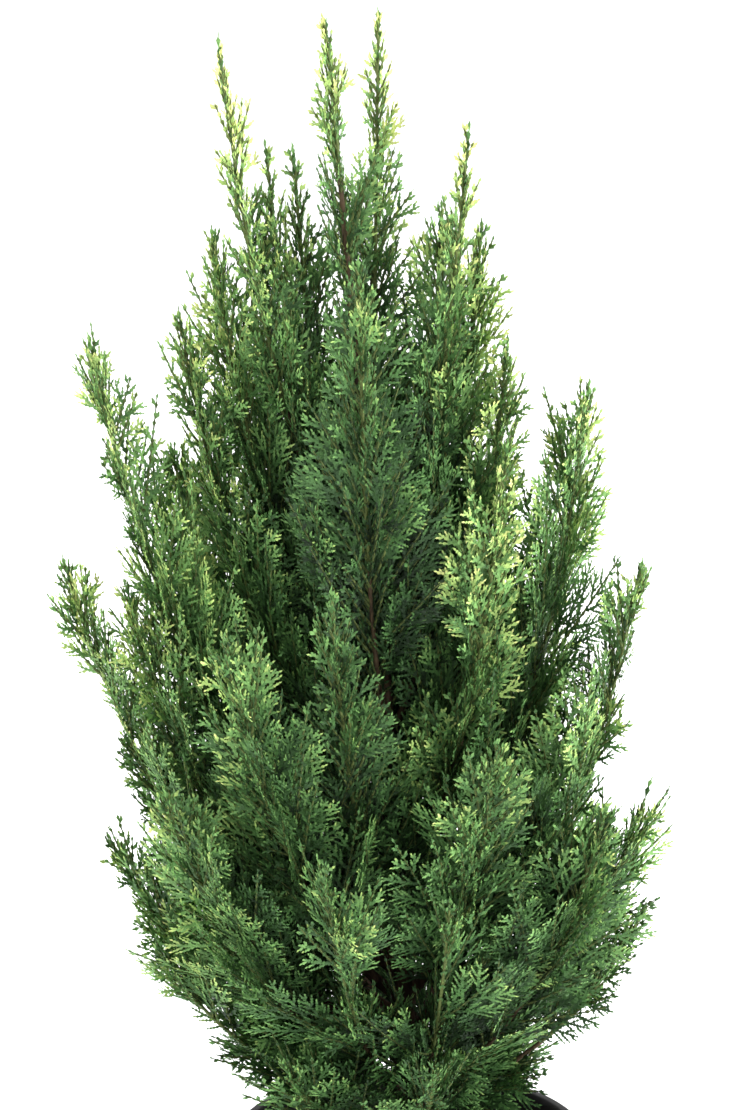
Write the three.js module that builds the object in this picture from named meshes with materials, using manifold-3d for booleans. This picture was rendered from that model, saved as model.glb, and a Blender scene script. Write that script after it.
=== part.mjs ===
// A young potted cypress: a slender leaning trunk in a round nursery pot of compost, ascending boughs,
// and plumes of flattened, toothed sprays that end in a group of leaders at the top.
// Millimetres, +Z up, origin at the centre of the pot's underside. +X is the right of the front view
// and -Y is towards the viewer. Azimuths run from +X towards +Y.
import * as THREE from "three";
import { mergeVertices } from "three/addons/utils/BufferGeometryUtils.js";
import Module from "manifold-3d";

const wasm = await Module();
wasm.setup();

// Pot and compost
const POT = {
  height: 92,
  rimRadius: 52.5,
  footRadius: 38,
  wall: 1.8,
  floor: 3,
  rimBand: 12,
  rimStep: 3,
  edge: 1.2,
  segments: 32,
};
const DRAIN = { count: 6, radius: 4.5, height: 5.5, sides: 6, depth: 16 };
const FIT_GAP = 0.3; // clearance between pieces that touch
const SOIL = { top: 83, collarRadius: 14, edgeDrop: 3, segments: 28 };

// Trunk: straight above its root flare, leaning to -X, with a slight sway towards the viewer
const TRUNK = {
  foot: SOIL.top + FIT_GAP,
  top: 342,
  tipOfLeader: 419,
  lean: -24,
  leanPower: 1.3,
  sway: -3,
  footRadius: 4.1,
  topRadius: 1.5,
  flareRadius: 2.4,
  flareHeight: 9,
  sides: 9,
  segments: 13,
  ringPower: 1.4, // rings lie closer together at the flare
};

// Boughs and plume stems. A limb runs out to a knee, at shares of its reach and rise, then up to its tip.
const BOUGH = { share: 0.2, footRadius: 1.9, tipRadius: 1.25, sides: 6, segments: 4 };
const STEM = { footRadius: 1.2, tipRadius: 0.5 };
const KNEE = { out: 0.7, up: 0.3 };

// The dense inner foliage of a plume: a slim spindle round its stem, which the sprays stand out of. Its
// size is a share of the plume's longest spray, within a share of the room round the stem.
const CORE = { share: 0.08, flatten: 0.8, fill: 0.7, swellPower: 0.6, sides: 4, segments: 4 };

// Where sprays stand along a stem. They leave it to either side in turn, and the last one ends at the tip.
const RULE = {
  seed: 20614,
  seedStep: 97,
  spacing: 21,
  fewest: 4,
  firstAt: 0.04,
  lastAt: 0.9,
  placeJitter: 0.3,
  splay: 35,
  splayJitter: 8,
  rollJitter: 60,
  twistJitter: 28,
  terminalTwist: 90,
};

// A spray: a toothed blade, longest a little above the foot of its stem and shorter towards the tip
const SPRAY = {
  longest: 48,
  lengthJitter: 0.22,
  footShare: 0.9,
  fullAt: 0.25,
  tipShare: 0.22,
  fallPower: 1.8,
  terminalShare: 0.6,
  halfWidth: 12.5,
  widthPower: 0.75,
  bellyPower: 0.75,
  upturn: 0.08,
  toothPitch: 16,
  fewestTeeth: 2,
  mostTeeth: 3,
  toothForward: 0.8,
  notchAt: 0.1,
  notchShare: 0.4,
  ribThickness: 1.1,
  rootHalfWidth: 0.9,
};

// Clearances, and how far a spray is shortened to fit before it is skipped
const SPACE = {
  gap: 0.5,
  limbClear: 1.2,
  soilClear: 2.5,
  rimClear: 2.5,
  skirtFrom: 48, // outside this radius the lowest sprays keep above a slope
  skirtRise: 1,
  lineSamples: 24,
};
const FIT = { shrink: 0.85, shortestShare: 0.45 };

// Each plume: azimuth in degrees, height of its foot on the trunk, horizontal reach from the trunk's
// centre, height of its tip, length of its longest spray, and whether a woody bough carries it.
const PLUMES = [
  { name: "left_leader", azimuth: 182, foot: 258, reach: 43, tip: 416, spread: 34, bough: false },
  { name: "right_leader", azimuth: 78, foot: 288, reach: 14, tip: 421, spread: 31, bough: false },
  { name: "left_spire", azimuth: 176, foot: 264, reach: 30, tip: 386, spread: 36, bough: false },
  { name: "right_spire", azimuth: 350, foot: 262, reach: 26, tip: 392, spread: 40, bough: false },
  { name: "back_spire", azimuth: 138, foot: 250, reach: 32, tip: 382, spread: 42, bough: false },
  { name: "upper_right", azimuth: 10, foot: 222, reach: 27, tip: 364, spread: 58, bough: false },
  { name: "upper_left", azimuth: 174, foot: 214, reach: 49, tip: 362, spread: 58, bough: false },
  { name: "upper_front", azimuth: 256, foot: 226, reach: 30, tip: 360, spread: 56, bough: false },
  { name: "upper_back_right", azimuth: 70, foot: 206, reach: 44, tip: 362, spread: 58, bough: false },
  { name: "upper_back_left", azimuth: 138, foot: 204, reach: 52, tip: 336, spread: 60, bough: false },
  { name: "upper_front_right", azimuth: 322, foot: 172, reach: 38, tip: 308, spread: 50, bough: false },
  { name: "upper_far_left", azimuth: 180, foot: 184, reach: 60, tip: 340, spread: 58, bough: false },
  { name: "upper_far_right", azimuth: 356, foot: 180, reach: 31, tip: 333, spread: 54, bough: false },
  { name: "mid_left", azimuth: 184, foot: 148, reach: 87, tip: 334, spread: 62, bough: true },
  { name: "mid_right", azimuth: 4, foot: 142, reach: 52, tip: 318, spread: 64, bough: true },
  { name: "mid_back_right", azimuth: 58, foot: 164, reach: 54, tip: 266, spread: 58, bough: true },
  { name: "mid_back", azimuth: 100, foot: 158, reach: 68, tip: 292, spread: 67, bough: true },
  { name: "mid_back_left", azimuth: 150, foot: 160, reach: 76, tip: 292, spread: 67, bough: true },
  { name: "mid_front", azimuth: 243, foot: 150, reach: 43, tip: 270, spread: 50, bough: false },
  { name: "mid_front_left", azimuth: 221, foot: 140, reach: 65, tip: 258, spread: 62, bough: true },
  { name: "mid_front_right", azimuth: 298, foot: 128, reach: 53, tip: 229, spread: 62, bough: true },
  { name: "low_left", azimuth: 181, foot: 120, reach: 97, tip: 269, spread: 58, bough: true },
  { name: "low_inner_left", azimuth: 187, foot: 134, reach: 79, tip: 264, spread: 60, bough: false },
  { name: "low_right", azimuth: 346, foot: 118, reach: 67, tip: 272, spread: 60, bough: true },
  { name: "low_back_right", azimuth: 62, foot: 122, reach: 74, tip: 236, spread: 70, bough: true },
  { name: "low_back_left", azimuth: 118, foot: 118, reach: 80, tip: 232, spread: 70, bough: true },
  { name: "low_front_left", azimuth: 210, foot: 112, reach: 78, tip: 212, spread: 65, bough: true },
  { name: "low_front", azimuth: 249, foot: 108, reach: 66, tip: 198, spread: 54, bough: true },
  { name: "low_front_centre", azimuth: 281, foot: 104, reach: 56, tip: 186, spread: 58, bough: false },
  { name: "low_front_right", azimuth: 324, foot: 108, reach: 67, tip: 207, spread: 62, bough: true },
  { name: "skirt_left", azimuth: 178, foot: 110, reach: 86, tip: 184, spread: 58, bough: false },
  { name: "skirt_right", azimuth: 356, foot: 106, reach: 69, tip: 204, spread: 60, bough: false },
  { name: "skirt_front_left", azimuth: 197, foot: 102, reach: 75, tip: 160, spread: 58, bough: false },
  { name: "skirt_front", azimuth: 232, foot: 96, reach: 58, tip: 134, spread: 58, bough: false },
  { name: "skirt_front_right", azimuth: 276, foot: 96, reach: 58, tip: 136, spread: 58, bough: false },
  { name: "skirt_far_right", azimuth: 342, foot: 104, reach: 70, tip: 172, spread: 48, bough: false },
  { name: "skirt_back_right", azimuth: 36, foot: 101, reach: 66, tip: 166, spread: 54, bough: false },
  { name: "skirt_back", azimuth: 88, foot: 98, reach: 62, tip: 160, spread: 56, bough: false },
  { name: "skirt_back_left", azimuth: 140, foot: 97, reach: 68, tip: 160, spread: 56, bough: false },
];
const LEADER = { name: "leader", azimuth: 180, spread: 27, bough: false };

// Finishes
const FOLIAGE_TONES = ["#4f7034", "#5b7d3a", "#446530"];
const MATERIALS = {
  pot: { color: "#1d1c1b", roughness: 0.5, metalness: 0 },
  soil: { color: "#33261c", roughness: 1, metalness: 0 },
  bark: { color: "#5d4533", roughness: 0.9, metalness: 0 },
};

const UP = new THREE.Vector3(0, 0, 1);
const radians = THREE.MathUtils.degToRad;

// A repeatable stream of numbers from 0 to 1 (a 32-bit mixing generator).
function seededStream(seed) {
  let state = seed >>> 0;
  return () => {
    state = (state + 0x6d2b79f5) >>> 0;
    let mixed = Math.imul(state ^ (state >>> 15), state | 1);
    mixed ^= mixed + Math.imul(mixed ^ (mixed >>> 7), mixed | 61);
    return ((mixed ^ (mixed >>> 14)) >>> 0) / 4294967296;
  };
}

// Solids
function solidOf(geometry) {
  const bare = geometry.clone();
  bare.deleteAttribute("normal");
  bare.deleteAttribute("uv");
  const merged = mergeVertices(bare, 1e-4);
  return new wasm.Manifold(
    new wasm.Mesh({
      numProp: 3,
      vertProperties: merged.attributes.position.array,
      triVerts: new Uint32Array(merged.index.array),
    }),
  );
}

function geometryOf(solid) {
  const mesh = solid.getMesh();
  const geometry = new THREE.BufferGeometry();
  geometry.setAttribute("position", new THREE.BufferAttribute(mesh.vertProperties, 3));
  geometry.setIndex(new THREE.BufferAttribute(mesh.triVerts, 1));
  const faceted = geometry.toNonIndexed();
  faceted.computeVertexNormals();
  return faceted;
}

// The largest piece of a solid: a scrap that fusing left loose is dropped.
function largestPiece(solid) {
  return solid.decompose().reduce((a, b) => (b.volume() > a.volume() ? b : a));
}

// Trunk centre line and radius by height
function trunkCentre(height) {
  const share = Math.max(0, (height - TRUNK.foot) / (TRUNK.tipOfLeader - TRUNK.foot));
  const sway = TRUNK.sway * Math.sin(Math.PI * share);
  return new THREE.Vector3(TRUNK.lean * share ** TRUNK.leanPower, sway, height);
}

function trunkRadius(height) {
  const share = (height - TRUNK.foot) / (TRUNK.top - TRUNK.foot);
  const flare = TRUNK.flareRadius * Math.exp(-(height - TRUNK.foot) / TRUNK.flareHeight);
  return THREE.MathUtils.lerp(TRUNK.footRadius, TRUNK.topRadius, share) + flare;
}

// A closed tube bent along centre(t), t from 0 to 1, with its ends cut square to the tube.
function bentTube(centre, radius, acrossAt, sides, segments) {
  const geometry = new THREE.CylinderGeometry(1, 1, 1, sides, segments);
  const position = geometry.attributes.position;
  for (let i = 0; i < position.count; i++) {
    const t = position.getY(i) + 0.5;
    const [across, over] = acrossAt(t);
    const point = centre(t)
      .addScaledVector(across, position.getZ(i) * radius(t))
      .addScaledVector(over, position.getX(i) * radius(t));
    position.setXYZ(i, point.x, point.y, point.z);
  }
  return geometry;
}

function trunkGeometry() {
  const heightAt = (t) => THREE.MathUtils.lerp(TRUNK.foot, TRUNK.top, t ** TRUNK.ringPower);
  const level = [new THREE.Vector3(1, 0, 0), new THREE.Vector3(0, 1, 0)];
  return bentTube(
    (t) => trunkCentre(heightAt(t)),
    (t) => trunkRadius(heightAt(t)),
    () => level,
    TRUNK.sides,
    TRUNK.segments,
  );
}

// Limb lines: a curve from the trunk's surface, out to a knee and up to the tip. It lies in one
// upright plane, so `beside`, square to that plane, frames it all along.
function limbLine(plume) {
  const azimuth = radians(plume.azimuth);
  const out = new THREE.Vector3(Math.cos(azimuth), Math.sin(azimuth), 0);
  const beside = new THREE.Vector3(-out.y, out.x, 0);
  const footRadius = plume.bough ? BOUGH.footRadius : STEM.footRadius;
  const rise = plume.tip - plume.foot;
  const centre = trunkCentre(plume.foot);
  const slope = Math.atan2(rise * KNEE.up, plume.reach * KNEE.out);
  const clear = trunkRadius(plume.foot) + FIT_GAP + footRadius * Math.sin(slope);
  const foot = centre.clone().addScaledVector(out, clear);
  const knee = centre.clone().addScaledVector(out, clear + (plume.reach - clear) * KNEE.out);
  knee.z += rise * KNEE.up;
  const tip = centre.clone().addScaledVector(out, plume.reach).setZ(plume.tip);
  return { curve: new THREE.QuadraticBezierCurve3(foot, knee, tip), beside, plume };
}

// The leader carries on from the trunk's cut top to the plant's tip.
function leaderLine() {
  const foot = trunkCentre(TRUNK.top).setZ(TRUNK.top + FIT_GAP);
  const tip = trunkCentre(TRUNK.tipOfLeader);
  const knee = foot.clone().lerp(tip, 0.5);
  const azimuth = radians(LEADER.azimuth);
  const beside = new THREE.Vector3(-Math.sin(azimuth), Math.cos(azimuth), 0);
  return { curve: new THREE.QuadraticBezierCurve3(foot, knee, tip), beside, plume: LEADER };
}

function frameAt(line, t) {
  const along = line.curve.getTangent(t).normalize();
  return { along, beside: line.beside, outer: line.beside.clone().cross(along) };
}

// A stretch of a limb line from t0 to t1, tapering from r0 to r1.
function limbGeometry(line, [t0, t1], [r0, r1], { sides, segments }) {
  const at = (t) => THREE.MathUtils.lerp(t0, t1, t);
  return bentTube(
    (t) => line.curve.getPoint(at(t)),
    (t) => THREE.MathUtils.lerp(r0, r1, t),
    (t) => {
      const { beside, outer } = frameAt(line, at(t));
      return [outer, beside];
    },
    sides,
    segments,
  );
}

// Where along its line a plume's stem starts: past its bough by the gap, or at the trunk.
function stemStart(line) {
  return line.plume.bough ? BOUGH.share + FIT_GAP / line.curve.getLength() : 0;
}

// Where it ends: a terminal spray carries on from there to the plume's tip.
function stemEnd(line) {
  return 1 - (line.plume.spread * SPRAY.terminalShare) / line.curve.getLength();
}

// Space
function distanceToLine(point, samples) {
  let nearest = Infinity;
  const closest = new THREE.Vector3();
  const segment = new THREE.Line3();
  for (let i = 1; i < samples.length; i++) {
    segment.set(samples[i - 1], samples[i]).closestPointToPoint(point, true, closest);
    nearest = Math.min(nearest, closest.distanceTo(point));
  }
  return nearest;
}

// Free height above the compost, or above the rim and the skirt's slope for a point outside the pot's mouth.
function roomToPot(point) {
  const radius = Math.hypot(point.x, point.y);
  const inside = radius < POT.rimRadius - POT.rimStep - SPACE.rimClear;
  const skirt = Math.max(0, radius - SPACE.skirtFrom) * SPACE.skirtRise;
  return point.z - (inside ? SOIL.top + SPACE.soilClear : POT.height + SPACE.rimClear + skirt);
}

function roomToTrunk(point) {
  if (point.z > TRUNK.top) return Infinity;
  return trunkCentre(point.z).distanceTo(point) - trunkRadius(point.z) - SPACE.limbClear;
}

// Sprays: the rule that sets them along a stem
function blend(a, shareOfA, b, shareOfB) {
  return a.clone().multiplyScalar(shareOfA).addScaledVector(b, shareOfB);
}

function sprayLengthShare(u) {
  const { footShare, fullAt, tipShare, fallPower } = SPRAY;
  const rise = THREE.MathUtils.lerp(footShare, 1, Math.min(1, u / fullAt));
  return rise * THREE.MathUtils.lerp(1, tipShare, u ** fallPower);
}

function spraysOf(line, index) {
  const { curve, plume } = line;
  const random = seededStream(RULE.seed + RULE.seedStep * index);
  const jitter = (size) => size * (2 * random() - 1);
  const start = stemStart(line);
  const stemLength = curve.getLength() * (1 - start);
  const count = Math.max(RULE.fewest, Math.round(stemLength / RULE.spacing));
  const sprays = [];
  for (let k = 0; k < count; k++) {
    const u = (k + 0.5 + jitter(RULE.placeJitter)) / count;
    const t = THREE.MathUtils.lerp(start, 1, THREE.MathUtils.lerp(RULE.firstAt, RULE.lastAt, u));
    const { along, beside, outer } = frameAt(line, t);
    const roll = radians((k % 2 ? 0 : 180) + jitter(RULE.rollJitter));
    const splay = radians(RULE.splay + jitter(RULE.splayJitter));
    const away = blend(beside, Math.cos(roll), outer, Math.sin(roll));
    const direction = blend(along, Math.cos(splay), away, Math.sin(splay));
    const flat = blend(away, Math.cos(splay), along, -Math.sin(splay));
    const across = flat.applyAxisAngle(direction, radians(jitter(RULE.twistJitter)));
    const wanted = plume.spread * sprayLengthShare(u) * (1 + jitter(SPRAY.lengthJitter));
    sprays.push({ root: curve.getPoint(t), direction, across, length: Math.min(wanted, SPRAY.longest) });
  }
  const { along, beside } = frameAt(line, stemEnd(line));
  const across = beside.clone().applyAxisAngle(along, radians(jitter(RULE.terminalTwist)));
  const length = plume.spread * SPRAY.terminalShare;
  sprays.push({ root: curve.getPoint(stemEnd(line)), direction: along, across, length });
  return sprays;
}

// A spray's outline: a rib with teeth and notches on each side, all in one gently upturned sheet
function sprayOutline({ root, direction, across, length }) {
  const { fewestTeeth, mostTeeth, toothPitch, toothForward, notchAt, notchShare } = SPRAY;
  const teeth = THREE.MathUtils.clamp(Math.round(length / toothPitch), fewestTeeth, mostTeeth);
  const widest = SPRAY.halfWidth * (length / SPRAY.longest) ** SPRAY.widthPower;
  const halfWidth = (s) => widest * Math.sin(Math.PI * s ** SPRAY.bellyPower);
  const rib = (s) => blend(direction, length * s, UP, SPRAY.upturn * length * s * s).add(root);
  const station = (j) => (j === 0 ? 0 : (j + notchAt) / teeth);
  const notch = (side, j) => {
    const reach = j === 0 ? SPRAY.rootHalfWidth : halfWidth(station(j)) * notchShare;
    return rib(station(j)).addScaledVector(across, side * reach);
  };
  const tooth = (side, j) => {
    const s = (j + toothForward) / teeth;
    return rib(s).addScaledVector(across, side * halfWidth(s));
  };
  return { teeth, rib, station, notch, tooth };
}

// A closed blade on that outline, with its rib raised on both faces
function bladeGeometry(spray) {
  const { teeth, rib, station, notch, tooth } = sprayOutline(spray);
  const normal = spray.direction.clone().cross(spray.across).normalize();
  const apex = rib(1);
  const ridge = (j, face) => rib(station(j)).addScaledVector(normal, (face * SPRAY.ribThickness) / 2);
  const corners = [];
  const add = (outward, a, b, c) => corners.push(...(outward ? [a, b, c] : [a, c, b]));
  for (const face of [-1, 1])
    for (const side of [-1, 1])
      for (let j = 0; j < teeth; j++) {
        const outward = face * side > 0;
        const last = j === teeth - 1;
        const next = last ? apex : ridge(j + 1, face);
        add(outward, ridge(j, face), tooth(side, j), notch(side, j));
        add(!outward, ridge(j, face), tooth(side, j), next);
        if (!last) add(!outward, next, tooth(side, j), notch(side, j + 1));
      }
  add(true, ridge(0, 1), notch(1, 0), ridge(0, -1));
  add(true, ridge(0, 1), ridge(0, -1), notch(-1, 0));
  return new THREE.BufferGeometry().setFromPoints(corners);
}

// The stem swells into the plume's inner foliage where its space allows.
function coreGeometry(line, lines) {
  const start = stemStart(line);
  const end = (1 + stemEnd(line)) / 2;
  const at = (t) => THREE.MathUtils.lerp(start, end, t);
  const radius = (t) => {
    const point = line.curve.getPoint(at(t));
    const others = lines.filter((other) => other !== line);
    const apart = Math.min(...others.map((other) => distanceToLine(point, other.samples)));
    const room = Math.min(apart / 2, roomToTrunk(point), roomToPot(point)) * CORE.fill;
    const swell = line.plume.spread * CORE.share * Math.sin(Math.PI * t) ** CORE.swellPower;
    return Math.max(Math.min(swell, room), THREE.MathUtils.lerp(STEM.footRadius, STEM.tipRadius, t));
  };
  const acrossAt = (t) => {
    const { beside, outer } = frameAt(line, at(t));
    return [outer.multiplyScalar(CORE.flatten), beside];
  };
  const centre = (t) => line.curve.getPoint(at(t));
  return bentTube(centre, radius, acrossAt, CORE.sides, CORE.segments);
}

// Growing: every solid in place keeps its box, so that only near neighbours are measured
function placed(solid, owner) {
  return { solid, owner, box: solid.boundingBox() };
}

function boxesMeet(a, b) {
  return [0, 1, 2].every((i) => a.min[i] < b.max[i] + SPACE.gap && b.min[i] < a.max[i] + SPACE.gap);
}

function standsClear(solid, owner, inPlace) {
  const box = solid.boundingBox();
  return inPlace.every(
    (other) =>
      other.owner === owner ||
      !boxesMeet(box, other.box) ||
      solid.minGap(other.solid, SPACE.gap) >= SPACE.gap,
  );
}

// A spray that would touch a limb or another plume is shortened, and in the end skipped.
function fittedBlade(spray, owner, inPlace) {
  const shortest = spray.length * FIT.shortestShare;
  for (let length = spray.length; length > shortest; length *= FIT.shrink) {
    const tip = spray.root.clone().addScaledVector(spray.direction, length);
    if (roomToPot(tip) < 0) continue;
    const blade = solidOf(bladeGeometry({ ...spray, length }));
    if (standsClear(blade, owner, inPlace)) return blade;
  }
  return null;
}

// All plumes grow side by side, one spray each in turn, so that none crowds out its neighbours.
function grownPlumes(lines, limbs) {
  const inPlace = limbs.map((limb) => placed(limb, null));
  const plumes = lines.map((line, index) => {
    const core = solidOf(coreGeometry(line, lines));
    inPlace.push(placed(core, index));
    return { pieces: [core], sprays: spraysOf(line, index) };
  });
  const rounds = Math.max(...plumes.map(({ sprays }) => sprays.length));
  for (let round = 0; round < rounds; round++)
    plumes.forEach(({ pieces, sprays }, index) => {
      const blade = round < sprays.length && fittedBlade(sprays[round], index, inPlace);
      if (!blade) return;
      pieces.push(blade);
      inPlace.push(placed(blade, index));
    });
  return plumes.map(({ pieces }) => largestPiece(wasm.Manifold.union(pieces)));
}

// Pot: a tapered wall with a stepped rim band, a flat floor and drain holes low in the wall
function potGeometry() {
  const { height, rimRadius, footRadius, wall, floor, rimBand, rimStep, edge } = POT;
  const bandFoot = height - rimBand;
  const neck = rimRadius - rimStep - edge;
  const profile = [
    [0, 0],
    [footRadius - edge, 0],
    [footRadius, edge],
    [neck, bandFoot - edge],
    [rimRadius - edge, bandFoot],
    [rimRadius, height - edge],
    [rimRadius - edge / 2, height],
    [rimRadius - wall - edge, height],
    [rimRadius - wall - 1.5 * edge, height - edge],
    [neck - wall, bandFoot],
    [footRadius - wall, floor],
    [0, floor],
  ].map(([r, z]) => new THREE.Vector2(r, z));
  const body = solidOf(new THREE.LatheGeometry(profile, POT.segments).rotateX(Math.PI / 2));
  const drains = Array.from({ length: DRAIN.count }, (_, i) => {
    const hole = new THREE.CylinderGeometry(DRAIN.radius, DRAIN.radius, DRAIN.depth, DRAIN.sides);
    hole.rotateZ(Math.PI / 2).translate(footRadius, 0, DRAIN.height);
    return solidOf(hole.rotateZ((2 * Math.PI * (i + 0.5)) / DRAIN.count));
  });
  return geometryOf(drains.reduce((pot, hole) => pot.subtract(hole), body));
}

// Compost: fills the pot from its floor, level round the trunk and a little lower at the wall
function soilGeometry() {
  const { rimRadius, rimStep, footRadius, wall, floor, rimBand, height, edge } = POT;
  const neck = rimRadius - rimStep - edge - wall;
  const foot = footRadius - wall;
  const innerRadius = (z) => foot + ((neck - foot) * (z - floor)) / (height - rimBand - floor);
  const clear = 2 * FIT_GAP;
  const shoulder = SOIL.top - SOIL.edgeDrop;
  const profile = [
    [0, floor + FIT_GAP],
    [innerRadius(floor) - clear, floor + FIT_GAP],
    [innerRadius(shoulder) - clear, shoulder],
    [SOIL.collarRadius, SOIL.top],
    [0, SOIL.top],
  ].map(([r, z]) => new THREE.Vector2(r, z));
  return new THREE.LatheGeometry(profile, SOIL.segments).rotateX(Math.PI / 2);
}

// Assembly
function addMesh(group, name, geometry, finish) {
  const mesh = new THREE.Mesh(geometry, new THREE.MeshStandardMaterial(finish));
  mesh.name = name;
  group.add(mesh);
}

function foliageFinish(index) {
  return { color: FOLIAGE_TONES[index % FOLIAGE_TONES.length], roughness: 0.7, metalness: 0 };
}

const lines = [leaderLine(), ...PLUMES.map(limbLine)];
for (const line of lines) line.samples = line.curve.getPoints(SPACE.lineSamples);

const plant = new THREE.Group();
addMesh(plant, "pot", potGeometry(), MATERIALS.pot);
addMesh(plant, "soil", soilGeometry(), MATERIALS.soil);
addMesh(plant, "trunk", trunkGeometry(), MATERIALS.bark);
for (const line of lines.filter(({ plume }) => plume.bough))
  addMesh(
    plant,
    "bough_" + line.plume.name,
    limbGeometry(line, [0, BOUGH.share], [BOUGH.footRadius, BOUGH.tipRadius], BOUGH),
    MATERIALS.bark,
  );

const limbs = plant.children.map((mesh) => solidOf(mesh.geometry));
grownPlumes(lines, limbs).forEach((solid, index) => {
  addMesh(plant, "foliage_" + lines[index].plume.name, geometryOf(solid), foliageFinish(index));
});

export default plant;
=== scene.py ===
"""A young potted cypress, dressed on its CAD frame: pot, compost, bark, twigs and sprays of scale leaves.

The plan is in millimetres, as in the part's source, and meshes are made in metres. +Z is up, +X is the right
of the front view and -Y is towards the camera. Azimuths run from +X towards +Y.
"""

import math

import bpy
import numpy as np
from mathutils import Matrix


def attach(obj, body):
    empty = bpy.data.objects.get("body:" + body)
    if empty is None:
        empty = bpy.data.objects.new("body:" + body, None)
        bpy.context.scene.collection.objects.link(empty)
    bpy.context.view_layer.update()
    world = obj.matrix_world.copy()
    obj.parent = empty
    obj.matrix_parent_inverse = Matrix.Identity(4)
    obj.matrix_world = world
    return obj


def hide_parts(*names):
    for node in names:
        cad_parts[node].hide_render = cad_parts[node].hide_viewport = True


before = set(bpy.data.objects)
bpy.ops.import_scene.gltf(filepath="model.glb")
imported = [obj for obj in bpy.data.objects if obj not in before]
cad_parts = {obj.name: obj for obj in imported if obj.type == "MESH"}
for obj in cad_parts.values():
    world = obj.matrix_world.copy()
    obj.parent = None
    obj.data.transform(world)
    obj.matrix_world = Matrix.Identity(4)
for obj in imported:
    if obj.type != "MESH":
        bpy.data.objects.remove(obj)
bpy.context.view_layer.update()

MM = 0.001
MOST_TRIANGLES = 190000  # in one joined piece
PHASES = 6  # random starts of waves run from 0 to this, in radians

# Pot and compost
POT = {
    "height": 92,
    "rim_radius": 52.5,
    "foot_radius": 38,
    "wall": 1.8,
    "floor": 3,
    "rim_band": 12,
    "rim_step": 3,
    "edge": 1.2,
    "rounding": 0.7,
    "sides": 144,
}
DRAIN = {"count": 6, "radius": 4.5, "height": 5.5, "depth": 16, "sides": 28}
SOIL = {"top": 83, "collar_radius": 14, "edge_drop": 3, "first_radius": 0.4, "rings": 40, "sides": 120}
FIT_GAP = 0.3

# Lumps in the compost's surface: waves as pace a millimetre and share of the height
LUMPS = {
    "height": 0.7,
    "sunk": 0.5,
    "stretch": 1.1,
    "waves": ((0.12, 0.8), (0.3, 0.45), (0.7, 0.3), (1.3, 0.22)),
    "seed": 5,
}
CRUMBS = {
    "count": 900,
    "smallest": 0.4,
    "largest": 1.7,
    "size_power": 2.5,
    "stretch": (0.5, 1.4),
    "flatness": 0.7,
    "area_shares": (0.02, 1),
    "from_wall": 2.5,
    "sunk": 0.3,
    "seed": 6,
}

# Trunk, boughs and stems. A bough is the first share of its limb, and a limb's knee stands at shares of its
# reach and rise.
TRUNK = {
    "foot": SOIL["top"] + FIT_GAP,
    "top": 342,
    "tip_of_leader": 419,
    "lean": -24,
    "lean_power": 1.3,
    "sway": -3,
    "foot_radius": 4.1,
    "top_radius": 1.5,
    "flare_radius": 2.4,
    "flare_height": 9,
    "lobes": 4,
    "lobe_depth": 0.9,
    "lobe_turn": 0.7,
    "sunk": 1.5,
    "ring_pitch": 0.8,
    "sides": 36,
    "leafy_from": 160,
    "leafy_past_top": 20,
}
BOUGH = {
    "share": 0.2,
    "foot_radius": 1.9,
    "tip_radius": 1.25,
    "starts_at": -0.04,
    "rings": 30,
    "sides": 18,
}
STEM = {
    "foot_radius": 1.2,
    "tip_radius": 0.3,
    "taper_power": 0.6,
    "rough": 0.06,
    "starts_at": -0.03,
    "green_from": 0.45,
    "ends_at": 0.96,
    "rings": 24,
    "sides": 8,
    "leafy_points": 12,
}
AXIS = {"foot_radius": 0.5, "tip_radius": 0.2, "ends_at": 0.97, "rings": 4, "sides": 3}
KNEE = {"out": 0.7, "up": 0.3}
LENGTH_POINTS = 60  # points that a limb's length is measured through

# Bark relief: its depths, and fissures as waves round the limb, turn in radians a millimetre and share
RELIEF = {"trunk": 0.13, "bough": 0.09, "full_from_radius": 3, "sway": 0.8, "sway_pace": 1.7}
FISSURES = ((3, 0.05, 0.5), (7, 0.16, 0.5), (11, 0.3, 0.6), (17, 0.55, 0.5))

# Dark and light of the twigs
BROWN_TWIG = ((50, 38, 26), (86, 70, 48))
GREEN_TWIG = ((62, 74, 36), (96, 108, 56))

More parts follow.
